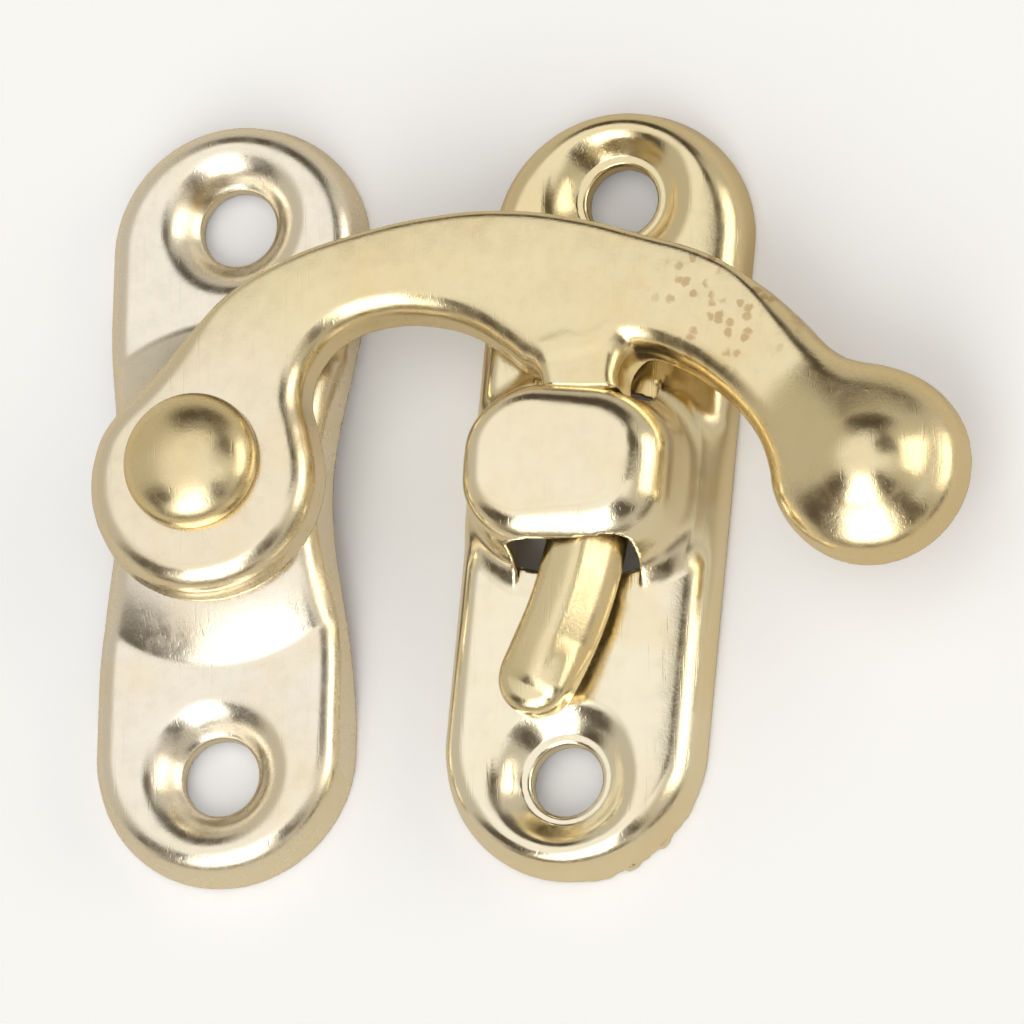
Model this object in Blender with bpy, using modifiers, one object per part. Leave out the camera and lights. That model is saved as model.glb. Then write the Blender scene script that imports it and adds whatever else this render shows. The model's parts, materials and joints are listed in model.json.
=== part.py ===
"""Swing hook latch: hinge plate, swing hook, pivot rivet and keeper plate, pressed from sheet brass.

It lies on its back: +Z points out of the plates' faces, +X runs from the hinge plate to the finger
ball, and the plates' rims rest on z = 0. The origin is under the middle of the whole latch. Each
piece is modelled in its own coordinates: the hook and the rivet about the pivot, and each plate
about its own middle.
"""

import math

import bmesh
import bpy
import numpy as np

# Driving dimensions, in metres.
SHEET = 0.0006
PLATE_LENGTH = 0.0286
PLATE_WIDTH = 0.0097
PLATE_FACE_Z = 0.0019
PLATE_ROUNDING = 0.0005
PLATE_DRAFT = 0.0004
BOTTOM_BAND = 0.0003

PIVOT = (-0.01175, 0.0008)
HINGE_CENTRE = (-0.0116, 0.0004)
HINGE_LEAN = math.radians(-1.5)
HINGE_HOLE_SPACING = 0.0206
HINGE_HOLE_RADIUS = 0.0013
KEEPER_CENTRE = (0.0022, -0.00025)
KEEPER_LEAN = math.radians(-5.6)
KEEPER_HOLE_SPACING = 0.0215
KEEPER_HOLE_RADIUS = 0.00115
COUNTERSINK_RADIUS = 0.0024
COUNTERSINK_DEPTH = 0.0011

BOSS_TOP_Z = 0.0030
BOSS_BASE_RADIUS = 0.0065
BOSS_TOP_RADIUS = 0.0046
BOSS_FOOT_Z = 0.0012
BOSS_SETBACK = 0.00065
BOSS_DRAFT = 0.0001
WAIST_DEPTH = 0.0006
WAIST_REACH = 0.0068
RIM_LIFT = 0.0011
RIM_REACH = 0.0085

# The hook's own frame has its origin on the pivot, and its outline is drawn about the eye's middle.
EYE_CENTRE = (HINGE_CENTRE[0] - PIVOT[0], HINGE_CENTRE[1] - PIVOT[1])
HOOK_RIM_Z = 0.0032
HOOK_TOP_Z = 0.0049
HOOK_ROUNDING = 0.0008
EYE_RADIUS = 0.0044
BALL_CENTRE = (0.0247, -0.0011)
BALL_RADIUS = 0.0036
BALL_SETBACK = 0.0002
BALL_TOP_Z = 0.0062
TONGUE_ARC_CENTRE = (-0.00125, -0.00045)
TONGUE_ARC_RADIUS = 0.01575
TONGUE_WIDTH = 0.0028
TONGUE_TOP_Z = 0.0040
TONGUE_RIM_Z = 0.0025
TONGUE_ROUNDING = 0.0005
TONGUE_ROOT_ANGLE = math.radians(16)
TONGUE_TIP_ANGLE = math.radians(-30.5)

HOOD_TOP_Z = 0.0051
HOOD_HALF_LENGTH = 0.0029
HOOD_BASE_MIDDLE = 0.00415
HOOD_BASE_MOUTH = 0.00315
HOOD_TOP_MIDDLE = 0.0034
HOOD_TOP_MOUTH = 0.0029
HOOD_ROUNDING = 0.0006
HOOD_SIDE_STEPS = 6

RIVET_HEAD_RADIUS = 0.0025
RIVET_HEAD_HEIGHT = 0.0014
RIVET_SHANK_RADIUS = 0.0012
RIVET_GAP = 0.00015
RIVET_TAIL_RADIUS = 0.0019
RIVET_TAIL_HEIGHT = 0.0005

ROUND_STEPS = 3
ARC_STEP = math.radians(15)
QUARTER = math.radians(90)


def clear_scene():
    for obj in list(bpy.data.objects):
        bpy.data.objects.remove(obj, do_unlink=True)


def new_collection(name):
    collection = bpy.data.collections.new(name)
    bpy.context.scene.collection.children.link(collection)
    return collection


def arc(centre, radius, start, end, steps=0):
    """Points along a circular arc with both ends, ARC_STEP apart unless told how many steps."""
    steps = steps or max(2, math.ceil(abs(end - start) / ARC_STEP))
    angles = np.linspace(start, end, steps + 1)
    return [(centre[0] + radius * math.cos(a), centre[1] + radius * math.sin(a)) for a in angles]


def smooth_loop(points):
    """The corners of the closed smooth curve through the points."""
    curve = bpy.data.curves.new("outline_guide", "CURVE")
    curve.dimensions = "2D"
    curve.fill_mode = "NONE"
    curve.resolution_u = 1
    spline = curve.splines.new("BEZIER")
    spline.bezier_points.add(len(points) - 1)
    spline.use_cyclic_u = True
    for bezier, (x, y) in zip(spline.bezier_points, points):
        bezier.co = (x, y, 0)
        bezier.handle_left_type = "AUTO"
        bezier.handle_right_type = "AUTO"
    guide = bpy.data.objects.new("outline_guide", curve)
    bpy.context.scene.collection.objects.link(guide)
    bpy.context.view_layer.update()
    mesh = guide.evaluated_get(bpy.context.evaluated_depsgraph_get()).to_mesh()
    corners = np.array([vertex.co[:2] for vertex in mesh.vertices])
    bpy.data.objects.remove(guide, do_unlink=True)
    bpy.data.curves.remove(curve)
    return corners


def outward(corners):
    """Mitred unit normals of a counter-clockwise loop, pointing away from it."""
    ahead = np.roll(corners, -1, axis=0) - corners
    behind = corners - np.roll(corners, 1, axis=0)
    ahead /= np.linalg.norm(ahead, axis=1)[:, None]
    behind /= np.linalg.norm(behind, axis=1)[:, None]
    along = ahead + behind
    along /= np.linalg.norm(along, axis=1)[:, None]
    spread = (along * ahead).sum(axis=1)[:, None]
    return np.stack([along[:, 1], -along[:, 0]], axis=1) / spread


def loft(name, sections):
    """A closed solid through sections of equal corner counts, with a flat face on both ends."""
    mesh = bmesh.new()
    rings = [[mesh.verts.new(corner) for corner in section] for section in sections]
    for upper, lower in zip(rings, rings[1:]):
        for i in range(len(upper)):
            mesh.faces.new((upper[i - 1], upper[i], lower[i], lower[i - 1]))
    mesh.faces.new(rings[0])
    mesh.faces.new(rings[-1])
    bmesh.ops.recalc_face_normals(mesh, faces=mesh.faces)
    data = bpy.data.meshes.new(name)
    mesh.to_mesh(data)
    mesh.free()
    return bpy.data.objects.new(name, data)


def pan_solid(name, loop, z_rim, z_top, rounding, draft=0.0, inset=0.0):
    """A pressed pan filled solid: rounded at its face, drafted at its sides, and inset all over."""
    steps = []
    radius = max(rounding - inset, rounding / 3)
    for step in range(ROUND_STEPS + 1):
        turn = QUARTER * step / ROUND_STEPS
        inward = inset + draft + radius * (1 - math.sin(turn))
        steps.append((inward, z_top - inset - radius * (1 - math.cos(turn))))
    if draft:
        steps.append((inset, z_rim + BOTTOM_BAND))
    # An inset pan is a cutter: it runs on below the rim, so that the piece is open at its back.
    steps.append((inset, z_rim - 2 * inset))
    normals = outward(loop)
    sections = []
    for inward, height in steps:
        sections.append([(x, y, height) for x, y in loop - normals * inward])
    return loft(name, sections)


def turned(name, profile, centre=(0, 0), segments=32):
    """A turned solid about a vertical axis; the profile runs down its outer side."""
    mesh = bpy.data.meshes.new(name)
    corners = [(radius, 0, z) for radius, z in profile]
    mesh.from_pydata(corners, [(i, i + 1) for i in range(len(corners) - 1)], [])
    obj = bpy.data.objects.new(name, mesh)
    screw = obj.modifiers.new("Turn", "SCREW")
    screw.steps = segments
    screw.render_steps = segments
    screw.use_merge_vertices = True
    screw.merge_threshold = 1e-6
    obj.location = (centre[0], centre[1], 0)
    return obj


def bore(name, radius, z_top, z_bottom, centre=(0, 0)):
    """A plain round cutter."""
    return turned(name, [(0, z_top), (radius, z_top), (radius, z_bottom), (0, z_bottom)], centre)


def combine(obj, other, operation, cutters):
    """Joins, cuts or intersects the object with a helper, which moves along with it.

    The exact solver opens seams round the plates' dished holes, so the manifold one is used.
    """
    cutters.objects.link(other)
    other.parent = obj
    other.hide_render = True
    other.display_type = "WIRE"
    boolean = obj.modifiers.new(operation.title(), "BOOLEAN")
    boolean.operation = operation
    boolean.solver = "MANIFOLD"
    boolean.object = other


def finish(obj, collection, place, lean, colour, roughness):
    """Puts a piece in the latch and gives it its own metal."""
    collection.objects.link(obj)
    obj.location = (place[0], place[1], 0)
    obj.rotation_euler = (0, 0, lean)
    metal = bpy.data.materials.new(obj.name + "_metal")
    metal.use_nodes = True
    shader = metal.node_tree.nodes["Principled BSDF"]
    shader.inputs["Base Color"].default_value = (*colour, 1)
    shader.inputs["Metallic"].default_value = 1
    shader.inputs["Roughness"].default_value = roughness
    obj.data.materials.append(metal)
    obj.data.shade_smooth()
    obj.data.set_sharp_from_angle(angle=math.radians(40))


def plate_loop(waist=0.0):
    """The rim of a round-ended plate, drawn in by a waist across its middle."""
    half = PLATE_WIDTH / 2
    straight = PLATE_LENGTH / 2 - half
    side = np.linspace(-straight, straight, 19)[1:-1]
    narrowing = waist * 0.5 * (1 + np.cos(np.clip(side / WAIST_REACH, -1, 1) * math.pi))
    right = [(half - cut, y) for y, cut in zip(side, narrowing)]
    left = [(-x, -y) for x, y in right]
    top = arc((0, straight), half, 0, math.pi)
    bottom = arc((0, -straight), half, math.pi, 2 * math.pi)
    return np.array(right + top + left + bottom)


def plate_pan(name, loop, inset=0.0):
    return pan_solid(name, loop, 0, PLATE_FACE_Z, PLATE_ROUNDING, PLATE_DRAFT, inset)


def countersinks(plate, spacing, hole_radius, cutters):
    """Two dished screw holes: a cup of sheet under the face, its dish pressed in, and the hole."""
    floor = PLATE_FACE_Z - COUNTERSINK_DEPTH
    knee_z = floor + COUNTERSINK_DEPTH * 0.3
    knee = (hole_radius + COUNTERSINK_RADIUS) / 2
    flare = SHEET * 0.6
    cup = [
        (0, PLATE_FACE_Z - SHEET * 0.5),
        (COUNTERSINK_RADIUS + flare, PLATE_FACE_Z - SHEET * 0.5),
        (COUNTERSINK_RADIUS + flare, PLATE_FACE_Z - SHEET * 0.9),
        (knee + SHEET, knee_z - flare),
        (hole_radius + flare, floor - SHEET),
        (0, floor - SHEET),
    ]
    dish = [
        (0, PLATE_FACE_Z + SHEET),
        (COUNTERSINK_RADIUS, PLATE_FACE_Z + SHEET),
        (COUNTERSINK_RADIUS, PLATE_FACE_Z),
        (knee, knee_z),
        (hole_radius, floor),
        (hole_radius, floor - 2 * SHEET),
        (0, floor - 2 * SHEET),
    ]
    for profile, kind, operation in ((cup, "cup", "UNION"), (dish, "dish", "DIFFERENCE")):
        for end, along in (("upper", spacing / 2), ("lower", -spacing / 2)):
            tool = turned(f"{plate.name}_{end}_{kind}", profile, (0, along))
            combine(plate, tool, operation, cutters)


def boss_solid(name, loop, inset, cutters):
    """The raised middle of the hinge plate: its waisted pan taken up to the boss, within a cone."""
    slope = (BOSS_BASE_RADIUS - BOSS_TOP_RADIUS) / (BOSS_TOP_Z - PLATE_FACE_Z)
    top_radius = BOSS_TOP_RADIUS - slope * SHEET - inset / 2
    base_radius = BOSS_BASE_RADIUS + slope * SHEET - inset / 2
    cone = [
        (0, BOSS_TOP_Z + SHEET - inset),
        (top_radius, BOSS_TOP_Z + SHEET - inset),
        (base_radius, PLATE_FACE_Z - SHEET - inset),
        (base_radius, -SHEET - inset),
        (0, -SHEET - inset),
    ]
    sides = loop - outward(loop) * BOSS_SETBACK
    boss = pan_solid(name, sides, BOSS_FOOT_Z, BOSS_TOP_Z, PLATE_ROUNDING, BOSS_DRAFT, inset)
    combine(boss, turned(name + "_cone", cone, segments=48), "INTERSECT", cutters)
    return boss


def rim_arch():
    """A cylinder lying across the hinge plate, which lifts the rim under the boss."""
    radius = (RIM_REACH**2 + RIM_LIFT**2) / (2 * RIM_LIFT)
    mesh = bmesh.new()
    bmesh.ops.create_cone(
        mesh, cap_ends=True, segments=128, radius1=radius, radius2=radius, depth=PLATE_WIDTH * 1.5
    )
    data = bpy.data.meshes.new("hinge_rim_arch")
    mesh.to_mesh(data)
    mesh.free()
    obj = bpy.data.objects.new("hinge_rim_arch", data)
    obj.rotation_euler = (0, QUARTER, 0)
    obj.location = (0, 0, RIM_LIFT - radius)
    return obj


def hinge_plate(cutters):
    loop = plate_loop(WAIST_DEPTH)
    plate = plate_pan("hinge_plate", loop)
    combine(plate, boss_solid("hinge_boss", loop, 0, cutters), "UNION", cutters)
    combine(plate, plate_pan("hinge_hollow", loop, SHEET), "DIFFERENCE", cutters)
    combine(plate, boss_solid("hinge_boss_hollow", loop, SHEET, cutters), "DIFFERENCE", cutters)
    countersinks(plate, HINGE_HOLE_SPACING, HINGE_HOLE_RADIUS, cutters)
    # The pivot in the plate's own coordinates, which lean the other way.
    cos, sin = math.cos(HINGE_LEAN), math.sin(HINGE_LEAN)
    pivot = (-cos * EYE_CENTRE[0] - sin * EYE_CENTRE[1], sin * EYE_CENTRE[0] - cos * EYE_CENTRE[1])
    hole_radius = RIVET_SHANK_RADIUS + RIVET_GAP
    shank_hole = bore("hinge_shank_hole", hole_radius, BOSS_TOP_Z + SHEET, 0, pivot)
    combine(plate, shank_hole, "DIFFERENCE", cutters)
    combine(plate, rim_arch(), "DIFFERENCE", cutters)
    return plate


def hood_section(middle, mouth, half_length, height):
    """One level of the hood: two bulged sides and two straight mouths."""
    sag = middle - mouth
    bulge = (half_length**2 + sag**2) / (2 * sag)
    reach = math.asin(half_length / bulge)
    right = arc((middle - bulge, 0), bulge, -reach, reach, HOOD_SIDE_STEPS)
    left = [(-x, -y) for x, y in right]
    return [(x, y, height) for x, y in right + left]


def hood_solid(name, inset, half_length):
    """The hood filled solid, from under the plate's face to its roof, and inset at its sides."""
    sections = []
    for step in range(ROUND_STEPS + 1):
        turn = QUARTER * step / ROUND_STEPS
        inward = inset + HOOD_ROUNDING * (1 - math.sin(turn))
        height = HOOD_TOP_Z - inset - HOOD_ROUNDING * (1 - math.cos(turn))
        sections.append((HOOD_TOP_MIDDLE - inward, HOOD_TOP_MOUTH - inward, height))
    foot = (HOOD_BASE_MIDDLE - inset, HOOD_BASE_MOUTH - inset)
    sections.append((*foot, PLATE_FACE_Z - SHEET * 0.25))
    sections.append((*foot, PLATE_FACE_Z - SHEET * 0.75 - 2 * inset))
    return loft(name, [hood_section(a, b, half_length, z) for a, b, z in sections])


def keeper_plate(cutters):
    loop = plate_loop()
    plate = plate_pan("keeper_plate", loop)
    combine(plate, plate_pan("keeper_hollow", loop, SHEET), "DIFFERENCE", cutters)
    combine(plate, hood_solid("keeper_hood", 0, HOOD_HALF_LENGTH), "UNION", cutters)
    passage = hood_solid("keeper_passage", SHEET, HOOD_HALF_LENGTH + SHEET / 2)
    combine(plate, passage, "DIFFERENCE", cutters)
    countersinks(plate, KEEPER_HOLE_SPACING, KEEPER_HOLE_RADIUS, cutters)
    return plate


def hook_loop():
    """The outline of the eye, arm and ball, counter-clockwise from the eye's upper left."""
    eye = arc((0, 0), EYE_RADIUS, math.radians(150), math.radians(360))
    inner_arch = [
        (0.00415, 0.0015), (0.0039, 0.0028), (0.0043, 0.0040), (0.0053, 0.0049),
        (0.0068, 0.0053), (0.0084, 0.0052), (0.0099, 0.0047), (0.0112, 0.0038),
        (0.0121, 0.0031), (0.0134, 0.0028), (0.0147, 0.0030), (0.0161, 0.0034),
        (0.0176, 0.0029), (0.0190, 0.0019), (0.0201, 0.0007),
    ]
    ball = arc(BALL_CENTRE, BALL_RADIUS, math.radians(178), math.radians(440))
    outer_arch = [
        (0.0242, 0.0025), (0.0232, 0.0032), (0.0221, 0.0044), (0.0206, 0.0058),
        (0.0189, 0.0069), (0.0165, 0.0078), (0.0141, 0.0086), (0.0114, 0.0091),
        (0.0086, 0.0091), (0.0059, 0.0087), (0.0033, 0.0080), (0.0011, 0.0069),
        (-0.0006, 0.0055), (-0.0021, 0.0039),
    ]
    return smooth_loop(eye + inner_arch + ball + outer_arch) + EYE_CENTRE


def tongue_loop():
    """The tongue's outline: an arc, nearly about the pivot, with a round tip."""
    half = TONGUE_WIDTH / 2
    centre = TONGUE_ARC_CENTRE
    outer = arc(centre, TONGUE_ARC_RADIUS + half, TONGUE_TIP_ANGLE, TONGUE_ROOT_ANGLE)
    inner = arc(centre, TONGUE_ARC_RADIUS - half, TONGUE_ROOT_ANGLE, TONGUE_TIP_ANGLE)
    tip = (
        centre[0] + TONGUE_ARC_RADIUS * math.cos(TONGUE_TIP_ANGLE),
        centre[1] + TONGUE_ARC_RADIUS * math.sin(TONGUE_TIP_ANGLE),
    )
    end = arc(tip, half, TONGUE_TIP_ANGLE + math.pi, TONGUE_TIP_ANGLE + 2 * math.pi)
    return np.array(outer + inner + end[1:-1])


def ball_dome(name, inset):
    """The round cap of the finger ball, filled solid and inset all over."""
    foot = HOOK_RIM_Z + BALL_SETBACK
    rise = BALL_TOP_Z - foot - inset
    radius = BALL_RADIUS - BALL_SETBACK - inset
    profile = []
    for step in range(7):
        turn = QUARTER * step / 6
        profile.append((radius * math.sin(turn), foot + rise * math.cos(turn)))
    bottom = foot - 2 * inset - BALL_SETBACK / 2
    profile += [(radius, bottom), (0, bottom)]
    centre = (BALL_CENTRE[0] + EYE_CENTRE[0], BALL_CENTRE[1] + EYE_CENTRE[1])
    return turned(name, profile, centre)


def hook_pan(name, loop, inset=0.0):
    return pan_solid(name, loop, HOOK_RIM_Z, HOOK_TOP_Z, HOOK_ROUNDING, 0, inset)


def tongue_pan(name, loop, inset=0.0):
    return pan_solid(name, loop, TONGUE_RIM_Z, TONGUE_TOP_Z, TONGUE_ROUNDING, 0, inset)


def swing_hook(cutters):
    loop = hook_loop()
    tongue = tongue_loop()
    hook = hook_pan("swing_hook", loop)
    combine(hook, tongue_pan("hook_tongue", tongue), "UNION", cutters)
    combine(hook, ball_dome("hook_ball", 0), "UNION", cutters)
    combine(hook, hook_pan("hook_hollow", loop, SHEET), "DIFFERENCE", cutters)
    combine(hook, tongue_pan("tongue_hollow", tongue, SHEET), "DIFFERENCE", cutters)
    combine(hook, ball_dome("ball_hollow", SHEET), "DIFFERENCE", cutters)
    eyelet = bore("hook_eyelet", RIVET_SHANK_RADIUS + RIVET_GAP, HOOK_TOP_Z + SHEET, HOOK_RIM_Z)
    combine(hook, eyelet, "DIFFERENCE", cutters)
    return hook


def pivot_rivet():
    """The domed head on the hook, the shank through hook and boss, and the peened tail."""
    head_z = HOOK_TOP_Z + RIVET_GAP
    tail_z = BOSS_TOP_Z - SHEET - RIVET_GAP
    profile = []
    for step in range(7):
        turn = QUARTER * step / 6
        radius = RIVET_HEAD_RADIUS * math.sin(turn)
        profile.append((radius, head_z + RIVET_HEAD_HEIGHT * math.cos(turn)))
    profile += [
        (RIVET_SHANK_RADIUS, head_z),
        (RIVET_SHANK_RADIUS, tail_z),
        (RIVET_TAIL_RADIUS, tail_z),
        (RIVET_TAIL_RADIUS * 0.95, tail_z - RIVET_TAIL_HEIGHT * 0.6),
        (RIVET_TAIL_RADIUS * 0.7, tail_z - RIVET_TAIL_HEIGHT),
        (0, tail_z - RIVET_TAIL_HEIGHT),
    ]
    return turned("pivot_rivet", profile)


def main():
    clear_scene()
    latch = new_collection("swing_hook_latch")
    cutters = new_collection("cutters")
    finish(hinge_plate(cutters), latch, HINGE_CENTRE, HINGE_LEAN, (0.83, 0.74, 0.55), 0.24)
    finish(keeper_plate(cutters), latch, KEEPER_CENTRE, KEEPER_LEAN, (0.83, 0.73, 0.50), 0.18)
    finish(swing_hook(cutters), latch, PIVOT, 0, (0.82, 0.73, 0.52), 0.22)
    finish(pivot_rivet(), latch, PIVOT, 0, (0.80, 0.71, 0.50), 0.20)


main()
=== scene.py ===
"""Looks of the swing hook latch: four brass pieces, a pale floor, studio light and a camera.

Every piece is worked out as a field: a number that is negative inside the metal and, near its
surface, the distance to it in millimetres. surface_net() turns a field into a mesh. Each piece has
its own coordinates, in millimetres, with the origin on the pivot or in the middle of its plate.
"""

import json
import math

import bpy
import numpy as np
from mathutils import Matrix, Vector


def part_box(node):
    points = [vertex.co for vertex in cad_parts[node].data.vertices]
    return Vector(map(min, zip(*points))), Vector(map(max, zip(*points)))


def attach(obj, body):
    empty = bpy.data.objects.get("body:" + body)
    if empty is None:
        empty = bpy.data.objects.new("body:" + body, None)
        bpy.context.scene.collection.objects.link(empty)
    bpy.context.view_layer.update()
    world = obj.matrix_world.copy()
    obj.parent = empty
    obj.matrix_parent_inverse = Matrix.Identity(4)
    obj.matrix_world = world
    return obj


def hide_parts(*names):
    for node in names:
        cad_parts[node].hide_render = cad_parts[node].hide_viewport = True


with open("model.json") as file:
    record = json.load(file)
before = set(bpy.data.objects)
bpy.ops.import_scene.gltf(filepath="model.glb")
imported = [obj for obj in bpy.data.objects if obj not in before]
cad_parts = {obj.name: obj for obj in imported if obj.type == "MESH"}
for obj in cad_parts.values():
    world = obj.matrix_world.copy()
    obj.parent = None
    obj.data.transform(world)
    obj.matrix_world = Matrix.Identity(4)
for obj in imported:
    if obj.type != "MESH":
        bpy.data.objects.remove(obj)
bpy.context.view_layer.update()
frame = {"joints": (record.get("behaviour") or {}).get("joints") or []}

MM = 0.001
SHEET = 0.6
STEP = 0.1
EDGE = 0.12
MARGIN = 0.3

# Where each plate's middle lies, and how far it leans.
HINGE_CENTRE = (-11.6, 0.4)
HINGE_LEAN = math.radians(-1.5)
KEEPER_CENTRE = (2.2, -0.25)
KEEPER_LEAN = math.radians(-5.6)
PLATE_LENGTH = 28.52
PLATE_WIDTH = 9.68
PLATE_FACE_Z = 1.9
PLATE_ROUNDING = 0.7
PLATE_DRAFT = 0.4
BOTTOM_BAND = 0.3
DISH_DEPTH = 1.1

HINGE_HOLE_SPACING = 20.6
HINGE_HOLE_RADIUS = 1.42
HINGE_DISH_RADIUS = 2.4
KEEPER_HOLE_SPACING = 21.5
KEEPER_HOLE_RADIUS = 1.3
KEEPER_DISH_RADIUS = 2.6
HOLE_RING_WIDTH = 0.22
HOLE_RING_HEIGHT = 0.12
KEEPER_FALL = 0.09
KEEPER_FALL_START_X = 2.1
BURR_REACH = 0.13
BURR_HEIGHT = 0.2
BURR_ANGLE = -52
BURR_HALF_SPREAD = 32

BOSS_BASE_RADIUS = 6.45
BOSS_TOP_RADIUS = 4.3
WAIST_DEPTH = 0.6
WAIST_REACH = 6.8
RIM_LIFT = 1.1
RIM_REACH = 8.5

HOOK_RIM_Z = 3.2
HOOK_TOP_Z = 4.9
HOOK_INNER_ROUNDING = 0.95
HOOK_OUTER_ROUNDING = 0.3
HOOK_LIP = 0.12
HOOK_LIP_HEIGHT = 0.1
HOOK_LIP_RUN = 0.45
ARM_CROWN = 0.12
ARM_CROWN_REACH = 2.2
ARM_MIDDLE_X = (-1.5, 2.0, 8.5, 14.0, 18.0, 21.5)
ARM_MIDDLE_Y = (3.4, 6.0, 7.1, 5.9, 4.9, 2.6)
EYE_RADIUS = 4.38
BALL_CENTRE = (24.68, -1.3)
BALL_RADIUS = 3.5
BALL_SKIRT = 0.07
BALL_DOME_RADIUS = 2.95
BALL_TO_ARM = (-0.75, 0.66)
BALL_FILLET = 0.5
ARM_TO_BALL_FILLET = 2.0
TONGUE_ARC_CENTRE = (-1.25, -0.45)
TONGUE_ARC_RADIUS = 15.75
TONGUE_HALF_WIDTH = 1.38
TONGUE_TOP_Z = 4.15
TONGUE_RIM_Z = 2.5
TONGUE_ROUNDING = 0.5
TONGUE_ROOT_ANGLE = 16
TONGUE_TIP_ANGLE = -30.5
TONGUE_FILLET = 0.4
SHOULDER_ANGLE = 9.0
SHOULDER_RUN = 3.0
SHOULDER_SPREAD = 0.6
SHOULDER_ROUNDING = 0.4
INNER_RIDGE_SLOPE = 0.22
OUTER_RIDGE_SLOPE = 0.85
RIDGE_ROUNDING = 0.2
TIP_DROOP = 0.3
TIP_DROOP_ANGLE = -24
TIP_DROOP_RUN = 8
CLIMB_START = 2.6
CLIMB_RUN = 0.25
UNDER_ARM_TOP = 0.03
HOOK_LOWEST_Y = -10.2
HOOK_HIGHEST_X = 28.9
HOOK_HIGHEST_Y = 9.2

HOOD_BASE_MIDDLE_X = -0.1
HOOD_TOP_MIDDLE_X = -0.3
HOOD_BASE_HALF_LENGTH = 3.5
HOOD_TOP_HALF_LENGTH = 2.85
HOOD_BASE_HALF_WIDTH = 4.05
HOOD_TOP_HALF_WIDTH = 3.6
HOOD_BULGE = 0.4
HOOD_CORNER_RADIUS = 2.3
HOOD_UPPER_ROUNDING = 0.6
HOOD_LOWER_ROUNDING = 1.7
HOOD_FILLET = 1.0
MOUTH_HALF_WIDTH = 2.3
MOUTH_TOP_Z = 4.4
MOUTH_ROUNDING = 0.9
MOUTH_SILL = 0.05
MOUTH_REACH = 2

RIVET_HEAD_RADIUS = 2.5
RIVET_HEAD_EDGE = 0.1
RIVET_HEAD_SEAT = 0.05
RIVET_SHANK_RADIUS = 1.2
RIVET_TAIL_RADIUS = 1.9
RIVET_TAIL_HEIGHT = 0.5
RIVET_GAP = 0.15
RIVET_SEGMENTS = 96

PIVOT = tuple(value / MM for value in frame["joints"][0]["pos_m"][:2])
EYE_CENTRE = (HINGE_CENTRE[0] - PIVOT[0], HINGE_CENTRE[1] - PIVOT[1])
BOSS_TOP_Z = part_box("hinge_plate")[1].z / MM
HOOD_TOP_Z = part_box("keeper_plate")[1].z / MM
BALL_TOP_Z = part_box("swing_hook")[1].z / MM
RIVET_TOP_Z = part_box("pivot_rivet")[1].z / MM


# Fields.

def soft_max(a, b, width):
    """The larger of two fields, rounded where they are within the width of each other."""
    near = np.clip(1 - np.abs(a - b) / width, 0, 1)
    return np.maximum(a, b) + near**2 * width / 4


def soft_min(a, b, width):
    return -soft_max(-a, -b, width)


def rounded(a, b, radius):
    """Both fields at once, with their outer corner rounded to a true radius."""
    a = a + radius
    b = b + radius
    return np.minimum(np.maximum(a, b), 0) + np.hypot(np.maximum(a, 0), np.maximum(b, 0)) - radius


def filleted(a, b, radius):
    """Either field, with their inner corner filled to a true radius."""
    return -rounded(-a, -b, radius)


def eased(t, start_width, end_width):
    """A straight ramp from 0 to 1, with rounded ends."""
    return soft_min(soft_max(t, 0, start_width), 1, end_width)


def shell(field):
    """The sheet just inside a field's surface."""
    return soft_max(field, -(field + SHEET), EDGE)


def cell_corners(values, cells):
    """The eight corner values of each cell, by corner offset."""
    corners = {}
    for i in (0, 1):
        for j in (0, 1):
            for k in (0, 1):
                corners[i, j, k] = values[cells[0] + i, cells[1] + j, cells[2] + k]
    return corners


def crossing_points(corners):
    """The mean of the points where each cell's edges cross the surface, in cell units."""
    total = np.zeros((len(corners[0, 0, 0]), 3))
    count = np.zeros(len(corners[0, 0, 0]))
    for start, low in corners.items():
        for axis in range(3):
            if start[axis]:
                continue
            end = list(start)
            end[axis] = 1
            high = corners[tuple(end)]
            crosses = (low < 0) != (high < 0)
            share = np.where(crosses, low / np.where(crosses, low - high, 1), 0)
            point = np.tile(np.array(start, float), (len(low), 1))
            point[:, axis] = share
            total += point * crosses[:, None]
            count += crosses
    return total / count[:, None]


def onto_surface(field, points, step):
    """Moves points along the field's slope until the field there is zero."""
    reach = step * 0.05
    for _ in range(4):
        value = field(points)
        slope = np.empty_like(points)
        for axis in range(3):
            shift = np.zeros(3)
            shift[axis] = reach
            slope[:, axis] = (field(points + shift) - field(points - shift)) / (2 * reach)
        steepness = np.maximum((slope**2).sum(axis=1), 0.05)
        move = slope * (value / steepness)[:, None]
        length = np.linalg.norm(move, axis=1)[:, None]
        points = points - move * np.minimum(1, step * 0.5 / np.maximum(length, 1e-9))
    return points


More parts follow.
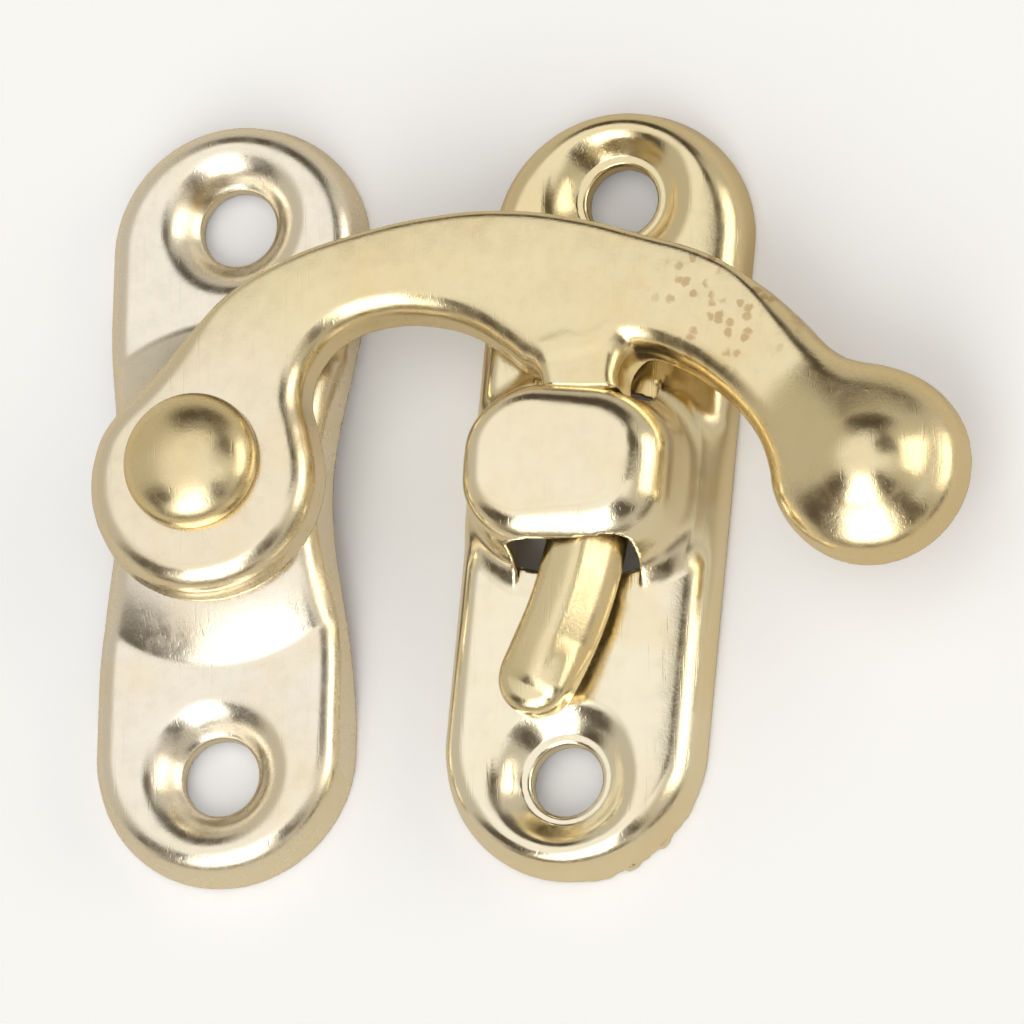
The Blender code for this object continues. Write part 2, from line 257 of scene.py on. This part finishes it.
def surface_net(name, field, low, high, step):
    """A closed mesh of quads on the field's surface, inside a box in millimetres."""
    low = np.array(low, float)
    counts = np.ceil((np.array(high) - low) / step).astype(int) + 1
    axes = [low[k] + step * np.arange(counts[k]) for k in range(3)]
    grid = np.stack(np.meshgrid(*axes, indexing="ij"), axis=-1).reshape(-1, 3)
    values = field(grid).reshape(counts)
    inside = values < 0
    held = np.zeros(counts - 1, int)
    for i in (0, 1):
        for j in (0, 1):
            for k in (0, 1):
                held += inside[i:counts[0] - 1 + i, j:counts[1] - 1 + j, k:counts[2] - 1 + k]
    cells = np.nonzero((held > 0) & (held < 8))
    index = np.full(counts - 1, -1)
    index[cells] = np.arange(len(cells[0]))
    points = np.stack(cells, axis=1) + crossing_points(cell_corners(values, cells))
    points = onto_surface(field, low + step * points, step)
    quads = []
    for axis in range(3):
        one, two = (axis + 1) % 3, (axis + 2) % 3
        ahead = np.moveaxis(inside, axis, 0)
        crossed = np.nonzero(np.moveaxis(ahead[1:] != ahead[:-1], 0, axis))
        outward = inside[crossed]
        ring = []
        for back_one, back_two in ((1, 1), (0, 1), (0, 0), (1, 0)):
            cell = list(crossed)
            cell[one] = cell[one] - back_one
            cell[two] = cell[two] - back_two
            ring.append(index[tuple(cell)])
        ring = np.stack(ring, axis=1)
        quads.append(np.where(outward[:, None], ring, ring[:, ::-1]))
    return mesh_object(name, points, np.concatenate(quads).tolist())


def mesh_object(name, points, faces):
    """An object from points in millimetres and faces."""
    mesh = bpy.data.meshes.new(name)
    mesh.from_pydata((np.array(points) * MM).tolist(), [], faces)
    mesh.shade_smooth()
    obj = bpy.data.objects.new(name, mesh)
    bpy.context.scene.collection.objects.link(obj)
    return obj


# Outlines.

def stadium(x, y, width, length):
    half = width / 2
    return np.hypot(x, np.maximum(np.abs(y) - (length / 2 - half), 0)) - half


def arc(centre, radius, start, end):
    """Points along a circular arc, 15 degrees apart or a little less."""
    steps = max(2, math.ceil(abs(end - start) / 15))
    angles = np.radians(np.linspace(start, end, steps + 1))
    return [(centre[0] + radius * math.cos(a), centre[1] + radius * math.sin(a)) for a in angles]


def smooth_loop(points, resolution):
    """The closed smooth curve through the points, as a fine polygon."""
    curve = bpy.data.curves.new("outline_guide", "CURVE")
    curve.fill_mode = "NONE"
    curve.resolution_u = resolution
    spline = curve.splines.new("BEZIER")
    spline.bezier_points.add(len(points) - 1)
    spline.use_cyclic_u = True
    for bezier, (x, y) in zip(spline.bezier_points, points):
        bezier.co = (x, y, 0)
        bezier.handle_left_type = "AUTO"
        bezier.handle_right_type = "AUTO"
    guide = bpy.data.objects.new("outline_guide", curve)
    bpy.context.scene.collection.objects.link(guide)
    bpy.context.view_layer.update()
    mesh = guide.evaluated_get(bpy.context.evaluated_depsgraph_get()).to_mesh()
    corners = np.array([vertex.co[:2] for vertex in mesh.vertices], float)
    bpy.data.objects.remove(guide)
    bpy.data.curves.remove(curve)
    return corners


class Outline:
    """A closed polygon's signed distance, kept on a fine grid and read off it smoothly."""

    MARGIN = 1.5
    PITCH = 0.1

    def __init__(self, corners):
        self.low = corners.min(axis=0) - self.MARGIN
        size = np.ceil((corners.max(axis=0) + self.MARGIN - self.low) / self.PITCH).astype(int) + 1
        self.values = np.empty(size)
        start, end = corners, np.roll(corners, -1, axis=0)
        along = end - start
        length = (along**2).sum(axis=1)
        y = self.low[1] + self.PITCH * np.arange(size[1])
        for column in range(size[0]):
            x = self.low[0] + self.PITCH * column
            offset = np.stack(np.broadcast_arrays(x - start[:, :1], y - start[:, 1:]), axis=-1)
            share = np.clip((offset * along[:, None]).sum(axis=-1) / length[:, None], 0, 1)
            gap = np.linalg.norm(offset - along[:, None] * share[..., None], axis=-1).min(axis=0)
            spans = (start[:, 1:] > y) != (end[:, 1:] > y)
            rise = np.where(along[:, 1] == 0, 1, along[:, 1])[:, None]
            meets = start[:, :1] + (y - start[:, 1:]) / rise * along[:, :1]
            inside = (spans & (meets > x)).sum(axis=0) % 2 == 1
            self.values[column] = np.where(inside, -gap, gap)

    def distance(self, x, y):
        spot = (np.stack([x, y], axis=-1) - self.low) / self.PITCH
        spot = np.clip(spot, 1.001, np.array(self.values.shape) - 2.001)
        cell = np.floor(spot).astype(int)
        weights = [self.weights(spot[..., k] - cell[..., k]) for k in (0, 1)]
        total = 0
        for i in range(4):
            for j in range(4):
                nearby = self.values[cell[..., 0] + i - 1, cell[..., 1] + j - 1]
                total = total + weights[0][i] * weights[1][j] * nearby
        return total

    @staticmethod
    def weights(t):
        """Cubic weights of the four grid values round a point."""
        return (
            ((2 - t) * t - 1) * t / 2,
            (t * t * (3 * t - 5) + 2) / 2,
            ((4 - 3 * t) * t + 1) * t / 2,
            (t - 1) * t * t / 2,
        )


# Plates.

def dish(radius, outer, inner, lip, floor):
    """How deep a screw hole's dish is pressed at a radius."""
    t = (outer - radius) / (outer - inner)
    return DISH_DEPTH * eased(t, lip, floor)


def pan(edge, z, top, rounding):
    """A drafted pan: its outline's distance, its height field and the rounding between them."""
    run = PLATE_FACE_Z - BOTTOM_BAND
    draft = PLATE_DRAFT * np.maximum(z - BOTTOM_BAND, 0) / run
    return rounded((edge + draft) * run / math.hypot(run, PLATE_DRAFT), z - top, rounding)


def hinge_field(p):
    x, y, z = p.T
    narrowing = WAIST_DEPTH * (1 + np.cos(np.clip(y / WAIST_REACH, -1, 1) * math.pi))
    edge = stadium(x, y, PLATE_WIDTH, PLATE_LENGTH) + narrowing / 2
    climb = (BOSS_BASE_RADIUS - np.hypot(x, y)) / (BOSS_BASE_RADIUS - BOSS_TOP_RADIUS)
    top = PLATE_FACE_Z + (BOSS_TOP_Z - PLATE_FACE_Z) * eased(climb, 0.08, 0.9)
    from_hole = np.hypot(x, np.abs(y) - HINGE_HOLE_SPACING / 2)
    top = top - dish(from_hole, HINGE_DISH_RADIUS, HINGE_HOLE_RADIUS, 0.55, 0.3)
    plate = shell(pan(edge, z, top, PLATE_ROUNDING))
    rim = RIM_LIFT * (1 - np.clip(y / RIM_REACH, -1, 1) ** 2)
    plate = soft_max(plate, rim - z, EDGE)
    plate = soft_max(plate, HINGE_HOLE_RADIUS - from_hole, EDGE)
    # The pivot in the plate's own coordinates, which lean the other way.
    cos, sin = math.cos(HINGE_LEAN), math.sin(HINGE_LEAN)
    pivot_x = -cos * EYE_CENTRE[0] - sin * EYE_CENTRE[1]
    pivot_y = sin * EYE_CENTRE[0] - cos * EYE_CENTRE[1]
    from_pivot = np.hypot(x - pivot_x, y - pivot_y)
    return soft_max(plate, RIVET_SHANK_RADIUS + RIVET_GAP - from_pivot, EDGE)


def hood_field(x, y, z):
    """The hood filled solid: a low dome with bulged sides and sloping ends."""
    level = np.clip((z - PLATE_FACE_Z) / (HOOD_TOP_Z - PLATE_FACE_Z), 0, 1)
    half_width = HOOD_BASE_HALF_WIDTH + (HOOD_TOP_HALF_WIDTH - HOOD_BASE_HALF_WIDTH) * level
    half_length = HOOD_BASE_HALF_LENGTH + (HOOD_TOP_HALF_LENGTH - HOOD_BASE_HALF_LENGTH) * level**0.7
    half_width = half_width - HOOD_BULGE * np.minimum(np.abs(y) / half_length, 1) ** 2
    middle = HOOD_BASE_MIDDLE_X + (HOOD_TOP_MIDDLE_X - HOOD_BASE_MIDDLE_X) * level
    plan = rounded(np.abs(x - middle) - half_width, np.abs(y) - half_length, HOOD_CORNER_RADIUS)
    # The shoulder is tight at the upper left and wide at the lower right.
    softness = eased(0.5 + (0.7 * x - 0.5 * y) / 5, 0.5, 0.5)
    rounding = HOOD_UPPER_ROUNDING + (HOOD_LOWER_ROUNDING - HOOD_UPPER_ROUNDING) * softness
    return rounded(plan, z - HOOD_TOP_Z, rounding)


def burr(x, y):
    """How far the ragged flash stands out round the keeper plate's lower right end."""
    angle = np.degrees(np.arctan2(y, x))
    teeth = np.sin(np.radians(angle) * 23) + 0.7 * np.sin(np.radians(angle) * 41 + 1)
    within = np.clip(1 - ((angle - BURR_ANGLE) / BURR_HALF_SPREAD) ** 2, 0, 1)
    return BURR_REACH * within * np.clip(teeth + 0.5, 0, 1)


def keeper_field(p):
    x, y, z = p.T
    edge = stadium(x, y, PLATE_WIDTH, PLATE_LENGTH)
    from_hole = np.hypot(x, np.abs(y) - KEEPER_HOLE_SPACING / 2)
    top = PLATE_FACE_Z - dish(from_hole, KEEPER_DISH_RADIUS, KEEPER_HOLE_RADIUS, 0.4, 0.7)
    ring = (from_hole - KEEPER_HOLE_RADIUS - HOLE_RING_WIDTH / 2) / HOLE_RING_WIDTH
    top = top + HOLE_RING_HEIGHT * np.clip(1 - ring**2, 0, 1)
    # The plate falls away to the right over a wide band.
    top = top - KEEPER_FALL * np.maximum(x - KEEPER_FALL_START_X, 0) ** 2
    near_floor = np.clip(2 - z / BURR_HEIGHT, 0, 1)
    edge = edge - burr(x, y + PLATE_LENGTH / 2 - PLATE_WIDTH / 2) * near_floor
    drawn = filleted(pan(edge, z, top, PLATE_ROUNDING), hood_field(x, y, z), HOOD_FILLET)
    mouth = rounded(np.abs(x) - MOUTH_HALF_WIDTH, z - MOUTH_TOP_Z, MOUTH_ROUNDING)
    mouth = np.maximum(mouth, PLATE_FACE_Z + MOUTH_SILL - z)
    mouth = np.maximum(mouth, np.abs(y) - HOOD_BASE_HALF_LENGTH - MOUTH_REACH)
    plate = soft_max(shell(drawn), -mouth, EDGE)
    plate = soft_max(plate, -z, EDGE)
    return soft_max(plate, KEEPER_HOLE_RADIUS - from_hole, EDGE)


# The hook and its rivet.

def hook_outline():
    """The eye, arm and ball, counter-clockwise from the eye's upper left."""
    eye = arc((0, 0), EYE_RADIUS, 150, 360)
    inner_arch = [
        (4.15, 1.5), (3.9, 2.8), (4.3, 4.0), (5.3, 4.9), (6.8, 5.3), (8.4, 5.2), (9.9, 4.7),
        (11.2, 3.8), (12.1, 3.1), (13.4, 2.8), (14.7, 3.0), (16.1, 3.4), (17.6, 2.9),
        (19.0, 1.9), (20.1, 0.7),
    ]
    ball = arc(BALL_CENTRE, BALL_RADIUS + BALL_SKIRT, 178, 440)
    outer_arch = [
        (24.2, 2.5), (23.2, 3.2), (22.1, 4.4), (20.6, 5.8), (18.9, 6.9), (16.5, 7.8),
        (14.1, 8.6), (11.4, 9.1), (8.6, 9.1), (5.9, 8.7), (3.3, 8.0), (1.1, 6.9), (-0.6, 5.5),
        (-2.1, 3.9),
    ]
    return Outline(smooth_loop(eye + inner_arch + ball + outer_arch, 8))


def about_tongue(x, y):
    """The angle along the tongue's arc, and where a point lies beside its middle line."""
    x = x - TONGUE_ARC_CENTRE[0]
    y = y - TONGUE_ARC_CENTRE[1]
    tip = math.radians(TONGUE_TIP_ANGLE)
    angle = np.degrees(np.arctan2(y, x))
    beside = np.hypot(x, y) - TONGUE_ARC_RADIUS
    past_tip = np.hypot(x - TONGUE_ARC_RADIUS * math.cos(tip), y - TONGUE_ARC_RADIUS * math.sin(tip))
    off_middle = np.where(angle > TONGUE_TIP_ANGLE, np.abs(beside), past_tip)
    before_tip = np.clip((angle - TONGUE_TIP_ANGLE) / 6, 0, 1)
    return angle, off_middle, np.clip(beside / 0.5, 0, 1) * before_tip


def hook_field(outline):
    """The field of the hook whose eye, arm and ball have this outline."""
    def field(p):
        x, y, z = p.T
        x = x - EYE_CENTRE[0]
        y = y - EYE_CENTRE[1]
        edge = outline.distance(x, y)
        above_lip = eased((z - HOOK_RIM_Z - HOOK_LIP_HEIGHT) / HOOK_LIP_RUN, 0.5, 0.5)
        crown = ARM_CROWN * np.clip(1 + edge / ARM_CROWN_REACH, 0, 1) ** 2
        # The arm's outer edge is tighter than its inner one and than those of the eye and ball.
        middle = np.interp(x, ARM_MIDDLE_X, ARM_MIDDLE_Y)
        tight = eased((y - middle) / 0.8, 0.3, 0.3) * eased((x + 1) / 2, 0.3, 0.3)
        tight = tight * eased((22 - x) / 2, 0.3, 0.3)
        rounding = HOOK_INNER_ROUNDING + (HOOK_OUTER_ROUNDING - HOOK_INNER_ROUNDING) * tight
        arm = rounded(edge + HOOK_LIP * above_lip, z - HOOK_TOP_Z + crown, rounding)
        toward_arm = BALL_TO_ARM[1] * (y - BALL_CENTRE[1]) + BALL_TO_ARM[0] * (x - BALL_CENTRE[0])
        near_arm = eased(toward_arm / BALL_RADIUS, 0.6, 0.6)
        fillet = BALL_FILLET + (ARM_TO_BALL_FILLET - BALL_FILLET) * near_arm
        body = filleted(arm, ball_field(x, y, z), fillet)
        angle, off_middle, outer = about_tongue(x + EYE_CENTRE[0], y + EYE_CENTRE[1])
        # Between the hood and the arm the tongue's outer side spreads into a round shoulder.
        shoulder = outer * eased((angle - SHOULDER_ANGLE) / SHOULDER_RUN, 0.3, 0.3)
        past_root = TONGUE_ARC_RADIUS * np.radians(angle - TONGUE_ROOT_ANGLE)
        tongue_side = off_middle - TONGUE_HALF_WIDTH - SHOULDER_SPREAD * shoulder
        tongue_side = np.maximum(tongue_side, past_root)
        slope = INNER_RIDGE_SLOPE + (OUTER_RIDGE_SLOPE - INNER_RIDGE_SLOPE) * outer
        ridge = slope * (np.hypot(off_middle, RIDGE_ROUNDING) - RIDGE_ROUNDING)
        droop = TIP_DROOP * np.clip((TIP_DROOP_ANGLE - angle) / TIP_DROOP_RUN, 0, 1) ** 2
        # Just short of the hood, and in line with its mouth, the tongue climbs to the arm.
        across = x + HINGE_CENTRE[0] - KEEPER_CENTRE[0]
        along = y + HINGE_CENTRE[1] - KEEPER_CENTRE[1]
        from_hood = math.cos(KEEPER_LEAN) * along - math.sin(KEEPER_LEAN) * across
        climb = eased((from_hood - CLIMB_START) / CLIMB_RUN, 0.4, 0.4)
        tongue_top = TONGUE_TOP_Z - ridge - droop
        tongue_top = tongue_top + (HOOK_TOP_Z - ARM_CROWN - UNDER_ARM_TOP - tongue_top) * climb
        tongue = rounded(tongue_side, z - tongue_top, TONGUE_ROUNDING + SHOULDER_ROUNDING * shoulder)
        solid = filleted(body, tongue, TONGUE_FILLET)
        rim = TONGUE_RIM_Z + (HOOK_RIM_Z - TONGUE_RIM_Z) * eased((tongue_side - 0.1) / 0.8, 0.3, 0.3)
        hook = soft_max(shell(solid), rim - z, EDGE)
        from_pivot = np.hypot(x + EYE_CENTRE[0], y + EYE_CENTRE[1])
        return soft_max(hook, RIVET_SHANK_RADIUS + RIVET_GAP - from_pivot, EDGE)

    return field


def ball_field(x, y, z):
    """The finger ball's dome, whose flanks run straight down below its middle."""
    across = np.hypot(x - BALL_CENTRE[0], y - BALL_CENTRE[1])
    middle_z = BALL_TOP_Z - BALL_DOME_RADIUS
    return np.hypot(across, np.maximum(z - middle_z, 0)) - BALL_DOME_RADIUS


def rivet_profile():
    """Half the section of the domed head, the shank and the peened tail: radius and height."""
    head_z = HOOK_TOP_Z + RIVET_GAP
    head_height = RIVET_TOP_Z - head_z
    tail_z = BOSS_TOP_Z - SHEET - RIVET_GAP
    profile = []
    for turn in np.radians(np.linspace(0, 90, 25)):
        profile.append((RIVET_HEAD_RADIUS * math.sin(turn), head_z + head_height * math.cos(turn) ** 0.9))
    profile.append((RIVET_HEAD_RADIUS - RIVET_HEAD_EDGE, head_z - RIVET_HEAD_SEAT))
    profile.append((RIVET_SHANK_RADIUS, head_z - RIVET_HEAD_SEAT))
    profile.append((RIVET_SHANK_RADIUS, tail_z))
    for turn in np.radians(np.linspace(0, 90, 7)):
        profile.append((RIVET_TAIL_RADIUS * math.cos(turn), tail_z - RIVET_TAIL_HEIGHT * math.sin(turn)))
    return profile


def lathe(name, profile, segments):
    """A closed turned solid; the profile starts and ends on the axis."""
    points = [(0, 0, profile[0][1]), (0, 0, profile[-1][1])]
    rings = []
    for radius, z in profile[1:-1]:
        rings.append(range(len(points), len(points) + segments))
        for angle in np.linspace(0, 2 * math.pi, segments, endpoint=False):
            points.append((radius * math.cos(angle), radius * math.sin(angle), z))
    faces = []
    for i in range(segments):
        j = (i + 1) % segments
        faces.append((0, rings[0][i], rings[0][j]))
        faces.append((1, rings[-1][j], rings[-1][i]))
        for upper, lower in zip(rings, rings[1:]):
            faces.append((upper[i], lower[i], lower[j], upper[j]))
    obj = mesh_object(name, points, faces)
    obj.data.set_sharp_from_angle(angle=math.radians(50))
    return obj


# Materials.

SILVERY = (0.945, 0.885, 0.77)
PALE = (0.95, 0.88, 0.70)
GOLDEN = (0.87, 0.75, 0.49)
STAIN = (0.97, 0.90, 0.74, 1)
TARNISH = (0.48, 0.30, 0.13, 1)


class Nodes:
    """Short calls for building one material or the world."""

    def __init__(self, tree):
        self.tree = tree

    def add(self, kind, **settings):
        node = self.tree.nodes.new(kind)
        inputs = settings.pop("inputs", {})
        for name, value in settings.items():
            setattr(node, name, value)
        for name, value in inputs.items():
            if isinstance(value, bpy.types.NodeSocket):
                self.tree.links.new(value, node.inputs[name])
            else:
                node.inputs[name].default_value = value
        return node

    def maths(self, operation, a, b=0.0):
        return self.add("ShaderNodeMath", operation=operation, inputs={0: a, 1: b}).outputs[0]

    def distance(self, a, b):
        return self.add("ShaderNodeVectorMath", operation="DISTANCE", inputs={0: a, 1: b}).outputs["Value"]

    def noise(self, vector, scale, detail=3.0, roughness=0.5):
        inputs = {"Vector": vector, "Scale": scale, "Detail": detail, "Roughness": roughness}
        return self.add("ShaderNodeTexNoise", inputs=inputs).outputs["Fac"]

    def ramp(self, value, low, high, start=0.0, end=1.0):
        inputs = {"Value": value, "From Min": low, "From Max": high, "To Min": start, "To Max": end}
        node = self.add("ShaderNodeMapRange", interpolation_type="SMOOTHSTEP", inputs=inputs)
        return node.outputs["Result"]

    def mix(self, factor, a, b, blend="MIX"):
        inputs = {0: factor, 6: a, 7: b}
        return self.add("ShaderNodeMix", data_type="RGBA", blend_type=blend, inputs=inputs).outputs[2]

    def within(self, value, middle, half_size, softness):
        """1 where an angle lies inside a range in degrees, falling softly to 0 outside it."""
        off = self.maths("SUBTRACT", value, math.radians(middle))
        off = self.add("ShaderNodeMath", operation="WRAP", inputs={0: off, 1: math.pi, 2: -math.pi})
        off = self.maths("ABSOLUTE", off.outputs[0])
        return self.ramp(off, math.radians(half_size - softness), math.radians(half_size + softness), 1, 0)


def brass(name, colour, far_colour, centre, reach, roughness, seed, spots=None):
    """Brass plating that turns from one colour to another away from a point.

    It has a satin haze, cloudy stains, fine scratches and, round one more point, tarnish spots.
    """
    material = bpy.data.materials.new(name)
    material.use_nodes = True
    nodes = Nodes(material.node_tree)
    shader = material.node_tree.nodes["Principled BSDF"]
    shader.inputs["Metallic"].default_value = 1.0
    coords = nodes.add("ShaderNodeTexCoord").outputs["Object"]
    far = nodes.ramp(nodes.distance(coords, centre), *reach)
    shift = Vector((seed, seed, seed))
    coords = nodes.add("ShaderNodeVectorMath", operation="ADD", inputs={0: coords, 1: shift}).outputs[0]

    clouds = nodes.noise(coords, 260, 4)
    grain = nodes.noise(coords, 9000, 3, 0.6)
    haze = nodes.noise(coords, 1500, 4, 0.6)
    tint = nodes.mix(far, (*colour, 1), (*far_colour, 1))
    stain = nodes.maths("MULTIPLY", nodes.ramp(clouds, 0.42, 0.72), 0.6)
    tint = nodes.mix(stain, tint, STAIN, "MULTIPLY")
    if spots:
        tint = tarnish(nodes, coords, tint, Vector(spots) + shift)
    nodes.tree.links.new(tint, shader.inputs["Base Color"])

    satin = nodes.ramp(haze, 0.3, 0.75, roughness, roughness + 0.12)
    nodes.tree.links.new(satin, shader.inputs["Roughness"])

    relief = nodes.maths("MULTIPLY", grain, 0.5)
    for turn, share in ((0.6, 0.35), (-1.1, 0.25)):
        inputs = {"Vector": coords, "Scale": (1, 0.05, 1), "Rotation": (0, 0, turn)}
        stretched = nodes.add("ShaderNodeMapping", inputs=inputs)
        scratches = nodes.ramp(nodes.noise(stretched.outputs[0], 6000, 2), 0.62, 0.72)
        relief = nodes.maths("SUBTRACT", relief, nodes.maths("MULTIPLY", scratches, share))
    bump = nodes.add("ShaderNodeBump", inputs={"Height": relief, "Strength": 0.22, "Distance": 0.00003})
    waves = nodes.noise(coords, 350, 2)
    inputs = {"Height": waves, "Strength": 0.2, "Distance": 0.00012, "Normal": bump.outputs[0]}
    swell = nodes.add("ShaderNodeBump", inputs=inputs)
    nodes.tree.links.new(swell.outputs[0], shader.inputs["Normal"])
    return material


def tarnish(nodes, coords, tint, centre):
    """Small brown spots, thickest round a point."""
    zone = nodes.ramp(nodes.distance(coords, centre), 0.0018, 0.0034, 1, 0)
    inputs = {"Vector": coords, "Scale": 1700.0, "Randomness": 1.0}
    cells = nodes.add("ShaderNodeTexVoronoi", voronoi_dimensions="2D", inputs=inputs)
    ragged = nodes.maths("MULTIPLY", nodes.noise(coords, 3500, 2), 0.5)
    dots = nodes.ramp(nodes.maths("ADD", cells.outputs["Distance"], ragged), 0.42, 0.60, 1, 0)
    chosen = nodes.ramp(nodes.noise(coords, 900, 1), 0.40, 0.5)
    amount = nodes.maths("MULTIPLY", nodes.maths("MULTIPLY", dots, chosen), zone)
    return nodes.mix(nodes.maths("MULTIPLY", amount, 0.6), tint, TARNISH)


# Stage.

ROOM_LIGHT = (0.56, 0.52, 0.44, 1)
WHITE = (1.0, 1.0, 1.0, 1)
FLOOR_SEEN = (0.93, 0.935, 0.95, 1)
# The floor's darker warm tone for all but camera rays is painted shade, seen in the metal's reflections.
FLOOR_REFLECTED_SHADE = (0.74, 0.68, 0.57, 1)
# A painted glow on the floor, seen only by the camera.
PAINTED_FLOOR_GLOW = (0.16, 0.17, 0.19, 1)
VIEW_BACK = (0.265, -0.265, 0.926)
VIEW_RIGHT = (0.961, 0.0, -0.275)
VIEW_OFFSET = (-1.163, -0.627)
VIEW_WIDTH = 0.0369
VIEW_DISTANCE = 0.4

# Each patch of the studio: azimuth and elevation, half sizes, softness (degrees), and light.
STUDIO_PATCHES = [
    ((0, 78), (181, 26), 12, (0.98, 0.955, 0.91)),
    ((88, 37), (32, 16), 7, (0.07, 0.055, 0.04)),
    ((35, 56), (23, 12), 5, (0.11, 0.09, 0.06)),
    ((-145, 33), (17, 20), 6, (0.09, 0.07, 0.05)),
    ((-52, 44), (14, 20), 6, (0.09, 0.07, 0.05)),
    ((-30, 4), (16, 8), 7, (0.14, 0.11, 0.07)),
    ((-100, 3), (40, 9), 6, (0.20, 0.16, 0.11)),
    ((-99, 43), (24, 22), 5, (3.0, 2.95, 2.8)),
    ((9, 24), (21, 12), 5, (2.2, 2.05, 1.7)),
]


def studio_world():
    """A pale room: a white box in front, a cream one to the right, and dark gaps between them."""
    world = bpy.data.worlds.new("studio")
    bpy.context.scene.world = world
    world.use_nodes = True
    tree = world.node_tree
    nodes = Nodes(tree)
    direction = nodes.add("ShaderNodeTexCoord").outputs["Generated"]
    split = nodes.add("ShaderNodeSeparateXYZ", inputs={0: direction})
    azimuth = nodes.maths("ARCTAN2", split.outputs["Y"], split.outputs["X"])
    elevation = nodes.maths("ARCSINE", split.outputs["Z"])
    light = ROOM_LIGHT
    for (turn, lift), (half_turn, half_lift), softness, colour in STUDIO_PATCHES:
        across = nodes.within(azimuth, turn, half_turn, softness)
        along = nodes.within(elevation, lift, half_lift, softness)
        light = nodes.mix(nodes.maths("MULTIPLY", across, along), light, (*colour, 1))
    seen = nodes.add("ShaderNodeLightPath").outputs["Is Camera Ray"]
    light = nodes.mix(seen, light, WHITE)
    tree.links.new(light, tree.nodes["Background"].inputs["Color"])


def floor():
    """A pale matt floor with painted light: a painted glow brightens it away from the latch and fades out
    round it as painted shade, and in reflections it shows a darker warm tone, painted shade.
    """
    bpy.ops.mesh.primitive_plane_add(size=3, location=(0, 0, -0.00002))
    plane = bpy.context.object
    plane.name = "floor"
    material = bpy.data.materials.new("pale_floor")
    material.use_nodes = True
    shader = material.node_tree.nodes["Principled BSDF"]
    nodes = Nodes(material.node_tree)
    seen = nodes.add("ShaderNodeLightPath").outputs["Is Camera Ray"]
    # Painted shade: for all but camera rays the floor turns a darker warm tone, so the metal reflects a
    # shaded floor.
    tone = nodes.mix(seen, FLOOR_REFLECTED_SHADE, FLOOR_SEEN)
    nodes.tree.links.new(tone, shader.inputs["Base Color"])
    # Painted glow for camera rays, fading out near the latch so that the floor round it is left in painted
    # shade.
    away = nodes.distance(nodes.add("ShaderNodeTexCoord").outputs["Object"], (0, 0, 0))
    painted_glow_amount = nodes.maths("MULTIPLY", nodes.ramp(away, 0.0, 0.018), seen)
    glow = nodes.mix(painted_glow_amount, (0, 0, 0, 1), PAINTED_FLOOR_GLOW)
    nodes.tree.links.new(glow, shader.inputs["Emission Color"])
    shader.inputs["Emission Strength"].default_value = 1.0
    shader.inputs["Roughness"].default_value = 0.9
    plane.data.materials.append(material)


def camera():
    """A long lens above the latch, to its right and below it."""
    back = Vector(VIEW_BACK).normalized()
    right = Vector(VIEW_RIGHT)
    right = (right - back * right.dot(back)).normalized()
    up = back.cross(right)
    target = (right * VIEW_OFFSET[0] + up * VIEW_OFFSET[1]) * MM
    data = bpy.data.cameras.new("camera")
    data.sensor_width = 36
    data.lens = data.sensor_width * VIEW_DISTANCE / VIEW_WIDTH
    data.clip_start = 0.01
    data.clip_end = 20
    obj = bpy.data.objects.new("camera", data)
    bpy.context.scene.collection.objects.link(obj)
    turn = Matrix((right, up, back)).transposed().to_4x4()
    obj.matrix_world = Matrix.Translation(target + back * VIEW_DISTANCE) @ turn
    bpy.context.scene.camera = obj


# The latch.

def place(piece, centre, lean, material, node, body):
    """Puts a piece in the latch, in place of its CAD node."""
    spot = Matrix.Translation((centre[0] * MM, centre[1] * MM, 0))
    piece.data.transform(spot @ Matrix.Rotation(lean, 4, "Z"))
    piece.data.materials.append(material)
    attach(piece, body)
    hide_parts(node)


def build():
    side = PLATE_WIDTH / 2 + MARGIN
    end = PLATE_LENGTH / 2 + MARGIN
    low = (-side, -end, -MARGIN)
    hinge = surface_net("hinge_plate_sheet", hinge_field, low, (side, end, BOSS_TOP_Z + MARGIN), STEP)
    keeper = surface_net("keeper_plate_sheet", keeper_field, low, (side, end, HOOD_TOP_Z + MARGIN), STEP)
    low = (EYE_CENTRE[0] - EYE_RADIUS - MARGIN, HOOK_LOWEST_Y, TONGUE_RIM_Z - MARGIN)
    high = (HOOK_HIGHEST_X, HOOK_HIGHEST_Y, BALL_TOP_Z + MARGIN)
    hook = surface_net("hook_sheet", hook_field(hook_outline()), low, high, STEP)
    rivet = lathe("rivet_turned", rivet_profile(), RIVET_SEGMENTS)

    pivot = (PIVOT[0] * MM, PIVOT[1] * MM, 0.0)
    plate_end = (0.0008, -0.0102, 0.0)
    spots = (0.0082, 0.0053, 0.0049)
    hinge_brass = brass("hinge_plate_brass", SILVERY, PALE, pivot, (0.009, 0.018), 0.2, 0.1)
    keeper_brass = brass("keeper_plate_brass", PALE, GOLDEN, plate_end, (0.008, 0.018), 0.13, 0.2)
    hook_brass = brass("hook_brass", SILVERY, GOLDEN, pivot, (0.003, 0.009), 0.18, 0.3, spots)
    rivet_brass = brass("rivet_brass", PALE, GOLDEN, pivot, (0.001, 0.006), 0.22, 0.4)
    place(hinge, HINGE_CENTRE, HINGE_LEAN, hinge_brass, "hinge_plate", "hinge")
    place(keeper, KEEPER_CENTRE, KEEPER_LEAN, keeper_brass, "keeper_plate", "keeper")
    place(hook, PIVOT, 0, hook_brass, "swing_hook", "hook")
    place(rivet, PIVOT, 0, rivet_brass, "pivot_rivet", "hinge")


build()
floor()
studio_world()
camera()
bpy.context.scene.view_settings.view_transform = "Standard"
